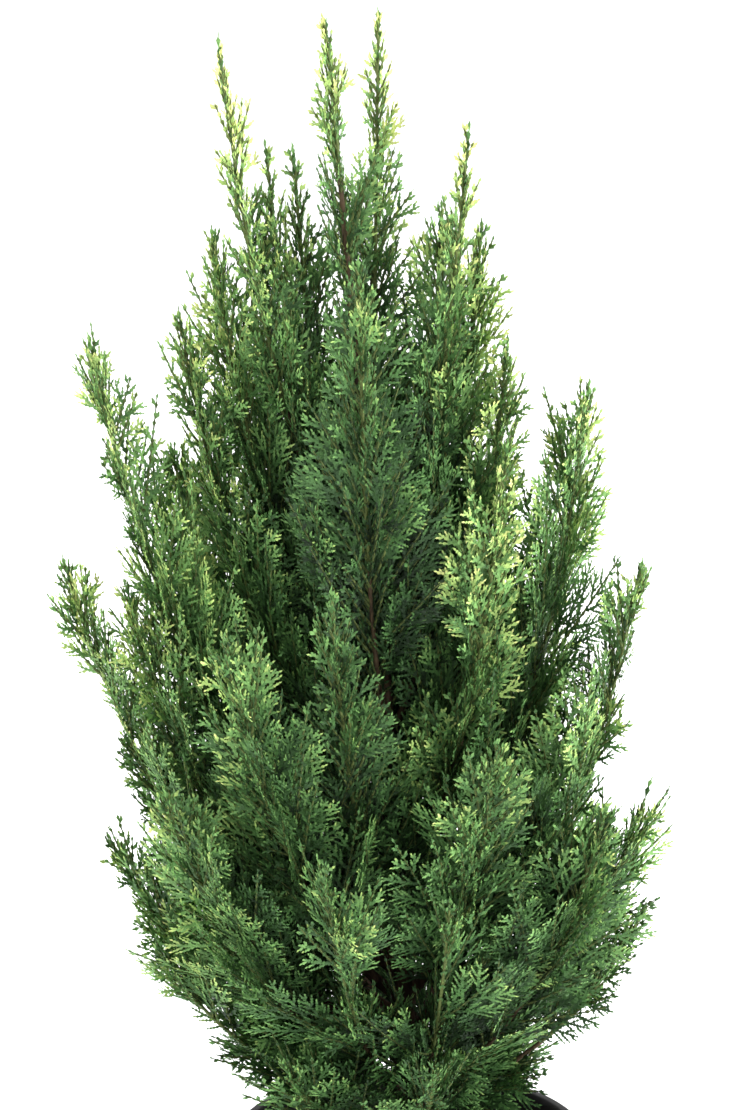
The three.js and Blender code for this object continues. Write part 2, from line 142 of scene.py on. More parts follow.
# Each plume: name, azimuth, height of its foot on the trunk, reach from the trunk's centre, height of its
# tip, length of its longest spray, and whether a woody bough carries it
PLUMES = [
    ("left_leader", 182, 258, 43, 416, 34, False),
    ("right_leader", 78, 288, 14, 421, 31, False),
    ("left_spire", 176, 264, 30, 386, 36, False),
    ("right_spire", 350, 262, 26, 392, 40, False),
    ("back_spire", 138, 250, 32, 382, 42, False),
    ("upper_right", 10, 222, 27, 364, 58, False),
    ("upper_left", 174, 214, 49, 362, 58, False),
    ("upper_front", 256, 226, 30, 360, 56, False),
    ("upper_back_right", 70, 206, 44, 362, 58, False),
    ("upper_back_left", 138, 204, 52, 336, 60, False),
    ("upper_front_right", 322, 172, 38, 308, 50, False),
    ("upper_far_left", 180, 184, 60, 340, 58, False),
    ("upper_far_right", 356, 180, 31, 333, 54, False),
    ("mid_left", 184, 148, 87, 334, 62, True),
    ("mid_right", 4, 142, 52, 318, 64, True),
    ("mid_back_right", 58, 164, 54, 266, 58, True),
    ("mid_back", 100, 158, 68, 292, 67, True),
    ("mid_back_left", 150, 160, 76, 292, 67, True),
    ("mid_front", 243, 150, 43, 270, 50, False),
    ("mid_front_left", 221, 140, 65, 258, 62, True),
    ("mid_front_right", 298, 128, 53, 229, 62, True),
    ("low_left", 181, 120, 97, 269, 58, True),
    ("low_inner_left", 187, 134, 79, 264, 60, False),
    ("low_right", 346, 118, 67, 272, 60, True),
    ("low_back_right", 62, 122, 74, 236, 70, True),
    ("low_back_left", 118, 118, 80, 232, 70, True),
    ("low_front_left", 210, 112, 78, 212, 65, True),
    ("low_front", 249, 108, 66, 198, 54, True),
    ("low_front_centre", 281, 104, 56, 186, 58, False),
    ("low_front_right", 324, 108, 67, 207, 62, True),
    ("skirt_left", 178, 110, 86, 184, 58, False),
    ("skirt_right", 356, 106, 69, 204, 60, False),
    ("skirt_front_left", 197, 102, 75, 160, 58, False),
    ("skirt_front", 232, 96, 58, 134, 58, False),
    ("skirt_front_right", 276, 96, 58, 136, 58, False),
    ("skirt_far_right", 342, 104, 70, 172, 48, False),
    ("skirt_back_right", 36, 101, 66, 166, 54, False),
    ("skirt_back", 88, 98, 62, 160, 56, False),
    ("skirt_back_left", 140, 97, 68, 160, 56, False),
]
LEADER = {"name": "leader", "azimuth": 180, "spread": 27, "trunk_spread": 34}

# Where sprays stand along a stem: the part's rule, with a finer spacing. Of three sprays two stand at the
# sides of the stem and the third on a face, by turns the outer and the inner one.
RULE = {
    "seed": 20614,
    "seed_step": 97,
    "spacing": 1.3,
    "first_at": 0.04,
    "last_at": 0.98,
    "place_jitter": 0.4,
    "splay": 36,
    "tip_splay": 24,
    "splay_jitter": 10,
    "roll_jitter": 60,
    "twist_jitter": 28,
    "face_roll": 90,
    "face_share": 0.8,
}

# A spray's size: longest a little above the stem's foot and shorter to its tip, widest below its own middle
SPRAY = {
    "longest": 50,
    "least_share": 0.65,
    "most_share": 1.1,
    "foot_share": 0.9,
    "full_at": 0.25,
    "tip_share": 0.22,
    "fall_power": 1.3,
    "half_width": 11.5,
    "width_power": 0.75,
    "belly_shift": 0.12,
    "belly_power": 0.75,
    "upturn": 0.1,
}

# A plume narrows to its tip: a spray, before a runner's gain, is no longer than a first length and a slope
# times the stem ahead. The slope eases off within a reach of the tip, shorter on plumes broader than the
# spread.
TAPER = {"length": 3, "slope": 0.75, "reach": 60, "spread": 44, "power": 4}

# Above the skirt plumes are slim: sprays that lean outwards lose length, less near the tip, strays apart
SLIM = {"loss": 0.85, "from": 130, "full_at": 190, "fade_power": 3, "stray_share": 0.06}

# Runners are narrow sprays close to the stem: more of them high in the crown, longer where they stand steep
RUNNER = {
    "share": 0.2,
    "high_share": 0.6,
    "more_above": 270,
    "width": 0.65,
    "splay": 0.75,
    "gain": 1.35,
    "steep": 0.75,
}

# Room over compost and rim and round the trunk. The skirt's underside rises outwards from its middle, to a
# ragged edge that a few sprays poke through.
ROOM = {
    "soil": 3,
    "rim": 6,
    "trunk": 1.2,
    "skirt_middle": -9,
    "skirt_from": 33,
    "skirt_rise": 1.2,
    "ragged": 30,
    "poke": 12,
    "poke_share": 0.1,
}
FIT = {"shrink": 0.8, "tries": 4}  # how sprays are shortened to their room before they are left out

# Open spaces in the crown, as centre and half sizes: hollows in front, where its dark inside shows, and
# notches in its outline, at the right, at the top and at the left
HOLLOWS = [
    ((5, -38, 244), (14, 22, 21)),
    ((-28, -52, 158), (11, 26, 11)),
    ((0, -58, 158), (17, 22, 15)),
]
NOTCHES = [
    ((67, -15, 240), (8, 45, 20)),
    ((64, -8, 203), (13, 45, 8)),
    ((44, -20, 128), (14, 40, 7)),
    ((-16, 4, 386), (4, 25, 13)),
    ((30, -5, 352), (5, 40, 13)),
    ((-92, -7, 304), (6, 45, 13)),
    ((-86, -7, 280), (6, 45, 13)),
    ((-89, -8, 220), (6, 45, 13)),
    ((-86, -8, 164), (6, 45, 11)),
    ((-66, -15, 133), (13, 40, 8)),
]
OUTSIDE_AT = (0.3, 0.5, 0.75, 1)  # shares of a spray's length that keep out of them

# Finer shoots of a spray: pitch along the parent, angle to it, first and last place on it, and how far they
# curve forwards and tilt out of the sheet
BRANCHLET = {
    "pitch": 3.4,
    "angle": 34,
    "angle_jitter": 8,
    "first": 0.07,
    "last": 0.97,
    "forward": 0.16,
    "tilt": 7,
}
TWIGLET = {
    "pitch": 1.45,
    "angle": 33,
    "angle_jitter": 7,
    "first": 0.16,
    "last": 0.9,
    "forward": 0.14,
    "tilt": 10,
}
SHOOT_PLACES = (0.2, 0.8)  # where within its pitch a shoot stands
SHOOT_LENGTHS = (0.8, 1.15)  # shares of the length that its place gives it
LEAST_BRANCHLET = 2.2
TWIGLET_LENGTH = {"share": 0.45, "least": 1.5, "most": 5.5, "parent_least": 5}

# Scale leaves in pairs: pitch along the shoot, length, half-width and how far the ridge stands up
LEAVES = {
    "stem": (1.5, 3.8, 1.05, 0.7),
    "axis": (1.1, 3.0, 0.78, 0.45),
    "branchlet": (1.15, 2.4, 0.66, 0.38),
    "twiglet": (1.15, 2.1, 0.53, 0.32),
}
CROSSED = ("stem", "axis")  # shoots on which every other pair stands across the sheet
PAIR_AT = 0.3  # where within its pitch a pair stands
SMALLER_TO_TIP = 0.3  # how much smaller the leaves are at a shoot's tip
WING_AT = 0.62  # where along the leaf its side points stand
END_WING = 0.7  # width of the last pair of a shoot
FACIAL_SHARE = 0.8  # width of the pairs that stand across the sheet

# Greens by tone, from the shaded inside to the newest tips: the darker greens serve partly as painted shade
# and the paler ones partly as painted light
TONES = [(33, 51, 30), (49, 77, 42), (71, 107, 58), (104, 143, 80), (154, 182, 103), (203, 212, 132)]
TONE_NAMES = ["inner", "deep", "mid", "fresh", "light", "tip"]

# What a spray's tone is made of: its place on the stem and in the crown, and chance. Its shoots add their
# own place and chance. Leafy stems have a tone of their own. Tones rise outwards, upwards and towards the
# tips, partly as newer growth and partly as painted light, so the darker inside is painted shade; the flank
# term is painted light from the sides.
TONE = {
    "outwards": 1.35,
    "height": 2.9,
    "height_power": 6,
    "facing": 0.2,
    "flank_light": 1.05,
    "jitter": 1.0,
    "along": 1.4,
    "shoot_jitter": 0.3,
    "stem": 2.2,
}

# Painted light on the crown's right and left flanks, made paler as if lit from the sides: the share of its
# reach where they start, and its reach low and high
FLANK_LIGHT = {"from": 0.3, "low": 200, "high": 400, "low_reach": 82, "high_reach": 30}

# Painted light and shade by plume: a plus makes a plume paler, as if sunlit, and a minus darker, as if
# shaded, than its place would give it
PLUME_PAINTED_LIGHT = {
    "upper_front_right": 1.05,
    "upper_far_right": 0.4,
    "low_front": 0.5,
    "mid_front_left": 0.2,
    "mid_front_right": 0.4,
    "upper_front": -0.4,
    "low_front_right": -0.3,
}

# Camera in millimetres and degrees, apart from how far it sees
CAMERA = {"place": (-13.3, -1100, 568), "pitch": 15.2, "lens": 131.06, "sensor": 36, "metres_seen": 50}

# Studio in metres and watts. Each light: name, place, size and power.
SWEEP = {"reach": 6.0, "back": 2.2, "bend": 0.9, "bend_from": 0.1, "bend_steps": 16, "top": 5.0}
LIGHTS = [
    ("key_light", (-1.7, -0.4, 1.3), 0.9, 44),
    ("side_light", (1.75, -0.7, 0.9), 1.2, 66),
    ("top_light", (0.2, 0.9, 2.3), 1.2, 42),
    ("front_light", (0.5, -1.9, 0.7), 1.4, 3),
]
LIT_POINT = (0, 0, 0.25)
AIR_LIGHT = 0.75


def lerp(a, b, t):
    return a + (b - a) * t


def unit(vectors):
    return vectors / np.linalg.norm(vectors, axis=-1, keepdims=True)


def jitter(rng, size, count):
    return rng.uniform(-size, size, count)


def linear(colour):
    """A colour of 0 to 255, in the usual curve of screens, as linear shader values."""
    shares = [c / 255 for c in colour]
    return [s / 12.92 if s <= 0.04045 else ((s + 0.055) / 1.055) ** 2.4 for s in shares] + [1]


# Meshes from arrays
def piece(name, points, faces, material, smooth=True):
    """A joined mesh that rides on the plant. faces is a list of arrays of point numbers, one row a face."""
    mesh = bpy.data.meshes.new(name)
    mesh.vertices.add(len(points))
    mesh.vertices.foreach_set("co", (np.asarray(points) * MM).astype(np.float32).ravel())
    corners = np.concatenate([np.asarray(part, np.int32).ravel() for part in faces])
    sizes = np.concatenate([np.full(len(part), np.shape(part)[1], np.int32) for part in faces])
    mesh.loops.add(len(corners))
    mesh.loops.foreach_set("vertex_index", corners)
    mesh.polygons.add(len(sizes))
    mesh.polygons.foreach_set("loop_start", (np.cumsum(sizes) - sizes).astype(np.int32))
    mesh.polygons.foreach_set("use_smooth", np.full(len(sizes), smooth))
    mesh.update(calc_edges=True)
    mesh.validate()
    mesh.materials.append(material)
    obj = bpy.data.objects.new(name, mesh)
    bpy.context.scene.collection.objects.link(obj)
    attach(obj, "root")
    return obj


def ring_angles(sides):
    return np.arange(sides) * 2 * math.pi / sides


def spokes(across, over, sides):
    """Directions round each ring, in the plane of its two axes."""
    angles = ring_angles(sides)[None, :, None]
    return across[:, None] * np.cos(angles) + over[:, None] * np.sin(angles)


def ring_walls(firsts, sides):
    """Faces from rings to the rings after them. firsts has the number of the first point of each ring."""
    ring = firsts[:, None]
    side = np.arange(sides)[None]
    after = (side + 1) % sides
    walls = np.stack([ring + side, ring + after, ring + sides + after, ring + sides + side], -1)
    return walls.reshape(-1, 4)


def tube(centres, radii, across, over):
    """Rings of points round a line. radii is one row a ring and one column a side."""
    rings, sides = radii.shape
    points = centres[:, None] + spokes(across, over, sides) * radii[:, :, None]
    last = (rings - 1) * sides
    ends = np.array([np.arange(sides)[::-1], last + np.arange(sides)])
    return points.reshape(-1, 3), ring_walls(np.arange(rings - 1) * sides, sides), ends


def joined(parts):
    """Several (points, walls, ends) as one list of points and of face arrays."""
    points, faces, count = [], [], 0
    for part_points, *part_faces in parts:
        points.append(part_points)
        faces += [part + count for part in part_faces]
        count += len(part_points)
    return np.concatenate(points), faces


def ring_points(radius, height, sides):
    """Level rings of points round the axis, one ring after another."""
    angles = ring_angles(sides)
    x = radius[:, None] * np.cos(angles)
    y = radius[:, None] * np.sin(angles)
    return np.stack([x, y, np.broadcast_to(height[:, None], x.shape)], -1).reshape(-1, 3)


def lathe(profile, sides):
    """A closed turned shape. profile runs from the axis at the bottom to the axis at the top."""
    profile = np.array(profile, float)
    radius, height = profile[1:-1].T
    points = ring_points(radius, height, sides)
    poles = [[0, 0, profile[0][1]], [0, 0, profile[-1][1]]]
    top = (len(radius) - 1) * sides
    side = np.arange(sides)
    after = (side + 1) % sides
    first = np.stack([np.full(sides, len(points)), after, side], -1)
    last = np.stack([np.full(sides, len(points) + 1), top + side, top + after], -1)
    walls = ring_walls(np.arange(len(radius) - 1) * sides, sides)
    return np.concatenate([points, poles]), [walls, first, last]


def rounded(corners, radius, steps=4, parts=2.1):
    """A profile with its inner corners rounded by short arcs, within a part of the sides they join."""
    corners = [np.array(c, float) for c in corners]
    profile = [corners[0]]
    for before, here, after in zip(corners, corners[1:], corners[2:]):
        back = min(radius, np.linalg.norm(before - here) / parts)
        ahead = min(radius, np.linalg.norm(after - here) / parts)
        start = here + unit(before - here) * back
        end = here + unit(after - here) * ahead
        for t in np.linspace(0, 1, steps):
            profile.append(lerp(lerp(start, here, t), lerp(here, end, t), t))
    return profile + [corners[-1]]


# Materials
class Shader:
    """A material whose colour, roughness and bump come from a few nodes."""

    def __init__(self, name, roughness, specular):
        self.material = bpy.data.materials.new(name)
        self.material.use_nodes = True
        self.tree = self.material.node_tree
        self.surface = self.tree.nodes["Principled BSDF"]
        self.surface.inputs["Roughness"].default_value = roughness
        self.surface.inputs["Specular IOR Level"].default_value = specular
        self.place = self.tree.nodes.new("ShaderNodeTexCoord").outputs["Object"]

    def stretched(self, scale):
        node = self.tree.nodes.new("ShaderNodeMapping")
        node.inputs["Scale"].default_value = scale
        self.tree.links.new(self.place, node.inputs["Vector"])
        return node.outputs["Vector"]

    def noise(self, scale, detail, place=None):
        node = self.tree.nodes.new("ShaderNodeTexNoise")
        node.inputs["Scale"].default_value = scale
        node.inputs["Detail"].default_value = detail
        self.tree.links.new(place or self.place, node.inputs["Vector"])
        return node.outputs["Fac"]

    def ramp(self, value, stops):
        node = self.tree.nodes.new("ShaderNodeValToRGB")
        elements = node.color_ramp.elements
        while len(elements) < len(stops):
            elements.new(0.5)
        for element, (position, colour) in zip(elements, stops):
            element.position = position
            element.color = linear(colour)
        self.tree.links.new(value, node.inputs["Fac"])
        return node.outputs["Color"]

    def coloured(self, value, stops):
        self.tree.links.new(self.ramp(value, stops), self.surface.inputs["Base Color"])

    def roughened(self, value, low, high):
        node = self.tree.nodes.new("ShaderNodeMapRange")
        node.inputs["To Min"].default_value = low
        node.inputs["To Max"].default_value = high
        self.tree.links.new(value, node.inputs["Value"])
        self.tree.links.new(node.outputs["Result"], self.surface.inputs["Roughness"])

    def bumped(self, value, strength, distance):
        node = self.tree.nodes.new("ShaderNodeBump")
        node.inputs["Strength"].default_value = strength
        node.inputs["Distance"].default_value = distance
        self.tree.links.new(value, node.inputs["Height"])
        self.tree.links.new(node.outputs["Normal"], self.surface.inputs["Normal"])


def shaded(colour, share):
    return tuple(min(255, c * share) for c in colour)


def leaf_material(name, colour):
    shader = Shader(name, roughness=0.55, specular=0.25)
    mottling = shader.noise(scale=220, detail=2)
    shader.coloured(mottling, [(0.3, shaded(colour, 0.86)), (0.7, shaded(colour, 1.12))])
    return shader.material


def twig_material(name, dark, light):
    shader = Shader(name, roughness=0.75, specular=0.3)
    grain = shader.noise(scale=1400, detail=3, place=shader.stretched((1, 1, 0.3)))
    shader.coloured(grain, [(0.3, dark), (0.7, light)])
    shader.bumped(grain, strength=0.3, distance=0.0002)
    return shader.material


def bark_material():
    shader = Shader("cypress bark", roughness=0.85, specular=0.25)
    fibres = shader.noise(scale=520, detail=8, place=shader.stretched((1, 1, 0.14)))
    shader.coloured(
        fibres,
        [(0.28, (27, 19, 14)), (0.45, (53, 39, 29)), (0.6, (76, 58, 44)), (0.75, (101, 83, 67))],
    )
    shader.bumped(fibres, strength=0.6, distance=0.0006)
    return shader.material


def pot_material():
    shader = Shader("black pot plastic", roughness=0.45, specular=0.18)
    wear = shader.noise(scale=60, detail=6)
    shader.coloured(wear, [(0.35, (9, 9, 9)), (0.62, (14, 14, 14)), (0.8, (26, 25, 23))])
    shader.roughened(wear, low=0.36, high=0.62)
    shader.bumped(shader.noise(scale=900, detail=3), strength=0.12, distance=0.0003)
    return shader.material


def compost_material():
    shader = Shader("potting compost", roughness=0.95, specular=0.15)
    grains = shader.noise(scale=420, detail=8)
    shader.coloured(
        grains,
        [(0.3, (22, 15, 10)), (0.5, (48, 33, 22)), (0.64, (74, 53, 36)), (0.76, (112, 86, 60))],
    )
    shader.bumped(grains, strength=0.9, distance=0.0012)
    return shader.material


def crumb_material():
    shader = Shader("compost crumbs", roughness=0.95, specular=0.15)
    browns = shader.noise(scale=160, detail=2)
    shader.coloured(browns, [(0.35, (34, 24, 17)), (0.55, (70, 50, 35)), (0.7, (104, 80, 58))])
    return shader.material


def paper_material():
    shader = Shader("pale paper", roughness=0.9, specular=0.1)
    clouds = shader.noise(scale=3, detail=2)
    shader.coloured(clouds, [(0.3, (244, 244, 244)), (0.7, (250, 250, 250))])
    return shader.material


# Limb lines, as in the part's source
def trunk_centre(heights):
    heights = np.asarray(heights, float)
    share = np.maximum(0, (heights - TRUNK["foot"]) / (TRUNK["tip_of_leader"] - TRUNK["foot"]))
    sway = TRUNK["sway"] * np.sin(math.pi * share)
    return np.stack([TRUNK["lean"] * share ** TRUNK["lean_power"], sway, heights], -1)


def trunk_radius(heights):
    rise = np.asarray(heights, float) - TRUNK["foot"]
    flare = TRUNK["flare_radius"] * np.exp(-rise / TRUNK["flare_height"])
    return lerp(TRUNK["foot_radius"], TRUNK["top_radius"], rise / (TRUNK["top"] - TRUNK["foot"])) + flare


class Limb:
    """A curve from foot to tip by way of a knee, in one upright plane, and the sprays' longest length."""

    def __init__(self, name, azimuth, foot, knee, tip, spread, bough):
        self.name, self.spread, self.bough = name, spread, bough
        self.corners = [np.asarray(p, float) for p in (foot, knee, tip)]
        self.out = np.array([math.cos(azimuth), math.sin(azimuth), 0])
        self.beside = np.array([-math.sin(azimuth), math.cos(azimuth), 0])
        steps = self.at(np.linspace(0, 1, LENGTH_POINTS))
        self.length = np.linalg.norm(np.diff(steps, axis=0), axis=1).sum()
        self.start = BOUGH["share"] if bough else 0

    def at(self, t):
        foot, knee, tip = self.corners
        t = np.asarray(t, float)[:, None]
        return foot * (1 - t) ** 2 + knee * 2 * t * (1 - t) + tip * t * t

    def along(self, t):
        foot, knee, tip = self.corners
        t = np.asarray(t, float)[:, None]
        return unit((knee - foot) * (1 - t) + (tip - knee) * t)


def limb_of(name, azimuth, foot, reach, tip, spread, bough):
    """A plume's limb, from its row in the table: it starts just clear of the trunk's surface."""
    azimuth = math.radians(azimuth)
    out = np.array([math.cos(azimuth), math.sin(azimuth), 0])
    rise = tip - foot
    centre = trunk_centre(foot)
    slope = math.atan2(rise * KNEE["up"], reach * KNEE["out"])
    thick = BOUGH["foot_radius"] if bough else STEM["foot_radius"]
    clear = trunk_radius(foot) + FIT_GAP + thick * math.sin(slope)
    knee = centre + out * (clear + (reach - clear) * KNEE["out"]) + [0, 0, rise * KNEE["up"]]
    end = centre + out * reach + [0, 0, rise]
    return Limb(name, azimuth, centre + out * clear, knee, end, spread, bough)


def leader_limb():
    """The top leader, on the trunk's own line above its wood."""
    foot = trunk_centre(TRUNK["top"])
    tip = trunk_centre(TRUNK["tip_of_leader"])
    azimuth = math.radians(LEADER["azimuth"])
    return Limb(LEADER["name"], azimuth, foot, (foot + tip) / 2, tip, LEADER["spread"], False)


def leafy_trunk_limb():
    """The trunk above the skirt, as a line for sprays of its own."""
    foot = trunk_centre(TRUNK["leafy_from"])
    tip = trunk_centre(TRUNK["top"] + TRUNK["leafy_past_top"])
    azimuth = math.radians(LEADER["azimuth"] + 90)
    return Limb("leafy_trunk", azimuth, foot, (foot + tip) / 2, tip, LEADER["trunk_spread"], False)


# Shoots: straight lines with a bend, kept as arrays with one row a shoot
def shoots(origin, direction, across, length, bend, tone, width=1):
    """A group of shoots. across lies in a shoot's sheet, and width is a share of its side shoots' length."""
    return {
        "origin": origin,
        "direction": direction,
        "across": across,
        "length": length,
        "bend": bend,
        "tone": tone,
        "width": np.broadcast_to(width, length.shape),
    }


def chosen(parents, rows):
    return {key: values[rows] for key, values in parents.items()}


def together(groups):
    return {key: np.concatenate([group[key] for group in groups]) for key in groups[0]}


def numbered(counts):
    """For counts of children by parent: each child's parent, and its number among that parent's."""
    rows = np.repeat(np.arange(len(counts)), counts)
    order = np.arange(len(rows)) - np.repeat(np.cumsum(counts) - counts, counts)
    return rows, order


def along_shoot(shoot, s):
    """Points, tangents and the sheet's normals at shares s along shoots, one row each."""
    length = shoot["length"][:, None]
    s = s[:, None]
    points = shoot["origin"] + (shoot["direction"] * s + shoot["bend"] * s * s) * length
    tangent = unit(shoot["direction"] + 2 * shoot["bend"] * s)
    normal = unit(np.cross(tangent, shoot["across"]))
    return points, tangent, normal


# Room for sprays
def room_to_pot(points):
    """Height over the compost, and outside it over the rim and the skirt's underside."""
    radius = np.hypot(points[:, 0], points[:, 1])
    inside = radius < POT["rim_radius"] - POT["rim_step"] - ROOM["rim"]
    from_middle = np.hypot(points[:, 0] - ROOM["skirt_middle"], points[:, 1])
    skirt = np.maximum(0, from_middle - ROOM["skirt_from"]) * ROOM["skirt_rise"]
    return points[:, 2] - np.where(inside, SOIL["top"] + ROOM["soil"], POT["height"] + ROOM["rim"] + skirt)


def room_to_trunk(points):
    """Distance to the trunk's surface, without a bound above its wood."""
    offset = points - trunk_centre(points[:, 2])
    gap = np.hypot(offset[:, 0], offset[:, 1]) - trunk_radius(points[:, 2]) - ROOM["trunk"]
    return np.where(points[:, 2] > TRUNK["top"], np.inf, gap)


def in_open_space(points):
    spaces = HOLLOWS + NOTCHES
    return np.any([(((points - centre) / sizes) ** 2).sum(1) < 1 for centre, sizes in spaces], axis=0)


def spray_fits(origin, direction, length, spare):
    """Whether sprays stand clear of compost, rim, trunk and open spaces, with height to spare at the tip."""
    tip = origin + direction * length[:, None]
    middle = (origin + tip) / 2
    clear = (room_to_pot(tip) > spare) & (room_to_pot(middle) > 0) & (room_to_trunk(middle) > 0)
    for share in OUTSIDE_AT:
        clear &= ~in_open_space(lerp(origin, tip, share))
    return clear


def fitted(origin, direction, length, rng):
    """Lengths shortened to the room there is, and which sprays fit in the end."""
    spare = rng.uniform(0, 1, len(length)) ** 2 * ROOM["ragged"]
    spare = np.where(rng.uniform(0, 1, len(length)) < ROOM["poke_share"], -ROOM["poke"], spare)
    for _ in range(FIT["tries"]):
        length = np.where(spray_fits(origin, direction, length, spare), length, length * FIT["shrink"])
    return length, spray_fits(origin, direction, length, np.minimum(spare, 0))


# Sprays: u is a spray's share of the leafy stem, t of the whole limb, and order its number
def on_face(order):
    return order % 3 == 2


def turned(vectors, axes, angles):
    """Vectors square to their axes, turned about them."""
    angles = angles[:, None]
    return vectors * np.cos(angles) + np.cross(axes, vectors) * np.sin(angles)


def runner_share(heights):
    rise = (heights - RUNNER["more_above"]) / (TRUNK["tip_of_leader"] - RUNNER["more_above"])
    return lerp(RUNNER["share"], RUNNER["high_share"], np.clip(rise, 0, 1))


def spray_axes(limb, order, u, t, rng):
    """Directions of the sprays, directions across them in their sheet, and which of them are runners."""
    count = len(order)
    along = limb.along(t)
    outer = np.cross(limb.beside, along)
    side_roll = np.where(order % 3, 0, 180)
    face_roll = np.where(order % 6 == 5, -RULE["face_roll"], RULE["face_roll"])
    roll = np.where(on_face(order), face_roll, side_roll) + jitter(rng, RULE["roll_jitter"], count)
    roll = np.radians(roll)[:, None]
    splay = lerp(RULE["splay"], RULE["tip_splay"], u**2) + jitter(rng, RULE["splay_jitter"], count)
    runner = rng.uniform(0, 1, count) < runner_share(limb.at(t)[:, 2])
    splay = np.radians(splay * np.where(runner, RUNNER["splay"], 1))[:, None]
    away = limb.beside * np.cos(roll) + outer * np.sin(roll)
    direction = along * np.cos(splay) + away * np.sin(splay)
    flat = away * np.cos(splay) - along * np.sin(splay)
    across = turned(flat, direction, np.radians(jitter(rng, RULE["twist_jitter"], count)))
    return direction, across, runner


def spray_length_share(u):
    rise = lerp(SPRAY["foot_share"], 1, np.minimum(1, u / SPRAY["full_at"]))
    return rise * lerp(1, SPRAY["tip_share"], u ** SPRAY["fall_power"])


def spray_lengths(limb, order, u, t, direction, runner, rng):
    """Lengths of the sprays before they are fitted to their room."""
    count = len(order)
    length = np.minimum(limb.spread * spray_length_share(u), SPRAY["longest"])
    length = length * rng.uniform(SPRAY["least_share"], SPRAY["most_share"], count)
    length = length * np.where(on_face(order), RULE["face_share"], 1)
    rise = np.clip((limb.at(t)[:, 2] - SLIM["from"]) / (SLIM["full_at"] - SLIM["from"]), 0, 1)
    loss = SLIM["loss"] * rise * (1 - u ** SLIM["fade_power"])
    loss = loss * ((rng.uniform(0, 1, count) > SLIM["stray_share"]) | runner)
    length = length * (1 - loss * np.maximum(0, direction @ limb.out))
    ahead = (1 - t) * limb.length
    reach = TAPER["reach"] * min(1, TAPER["spread"] / limb.spread) ** TAPER["power"]
    slope = TAPER["slope"] * np.minimum(1, ahead / reach)
    gain = np.where(runner & (direction[:, 2] > RUNNER["steep"]), RUNNER["gain"], 1)
    return np.minimum(length, TAPER["length"] + slope * ahead) * gain


def flank_light_share(points):
    """How far points stand out to the left or right, from 0 in the crown's middle to 1 at its edges, for the
    painted side light.
    """
    rise = np.clip((points[:, 2] - FLANK_LIGHT["low"]) / (FLANK_LIGHT["high"] - FLANK_LIGHT["low"]), 0, 1)
    reach = lerp(FLANK_LIGHT["low_reach"], FLANK_LIGHT["high_reach"], rise)
    out = np.abs(points[:, 0] - trunk_centre(points[:, 2])[:, 0]) / reach
    return np.clip((out - FLANK_LIGHT["from"]) / (1 - FLANK_LIGHT["from"]), 0, 1)


def spray_tones(limb, u, direction, tip, rng):
    """Tones of the sprays, whose whole numbers are places in the list of greens, with painted light and
    shade in them.
    """
    height = (tip[:, 2] - TRUNK["foot"]) / (TRUNK["tip_of_leader"] - TRUNK["foot"])
    # Outer, higher and outward-leaning sprays are paler: partly newer growth, partly painted light
    tone = TONE["outwards"] * u + TONE["height"] * height ** TONE["height_power"]
    # The flank term is painted light: sprays at the left and right edges are paler as if lit from the sides
    tone = tone + TONE["facing"] * (direction @ limb.out) + TONE["flank_light"] * flank_light_share(tip)
    # The plume's shift from the table above is painted light and shade
    return tone + PLUME_PAINTED_LIGHT.get(limb.name, 0) + jitter(rng, TONE["jitter"], len(u))


def sprays_of(limb, index):
    """The sprays of one plume that fit, with a tone for each from its place in the crown."""
    rng = np.random.default_rng(RULE["seed"] + RULE["seed_step"] * index)
    count = round(limb.length * (1 - limb.start) / RULE["spacing"])
    order = np.arange(count)
    u = (order + 0.5 + jitter(rng, RULE["place_jitter"], count)) / count
    t = lerp(limb.start, 1, lerp(RULE["first_at"], RULE["last_at"], u))
    origin = limb.at(t)
    direction, across, runner = spray_axes(limb, order, u, t, rng)
    length = spray_lengths(limb, order, u, t, direction, runner, rng)
    length, fits = fitted(origin, direction, length, rng)
    bend = np.tile([0, 0, SPRAY["upturn"]], (count, 1))
    tone = spray_tones(limb, u, direction, origin + direction * length[:, None], rng)
    width = np.where(runner, RUNNER["width"], 1)
    return chosen(shoots(origin, direction, across, length, bend, tone, width), fits)


# Finer shoots
def stem_shoots(limb):
    """The leafy end of a plume's stem, as one short shoot after another."""
    points = limb.at(np.linspace(STEM["green_from"], 1, STEM["leafy_points"]))
    steps = np.diff(points, axis=0)
    length = np.linalg.norm(steps, axis=1)
    across = np.tile(limb.beside, (len(length), 1))
    tone = np.full(len(length), TONE["stem"])
    return shoots(points[:-1], steps / length[:, None], across, length, np.zeros_like(steps), tone)


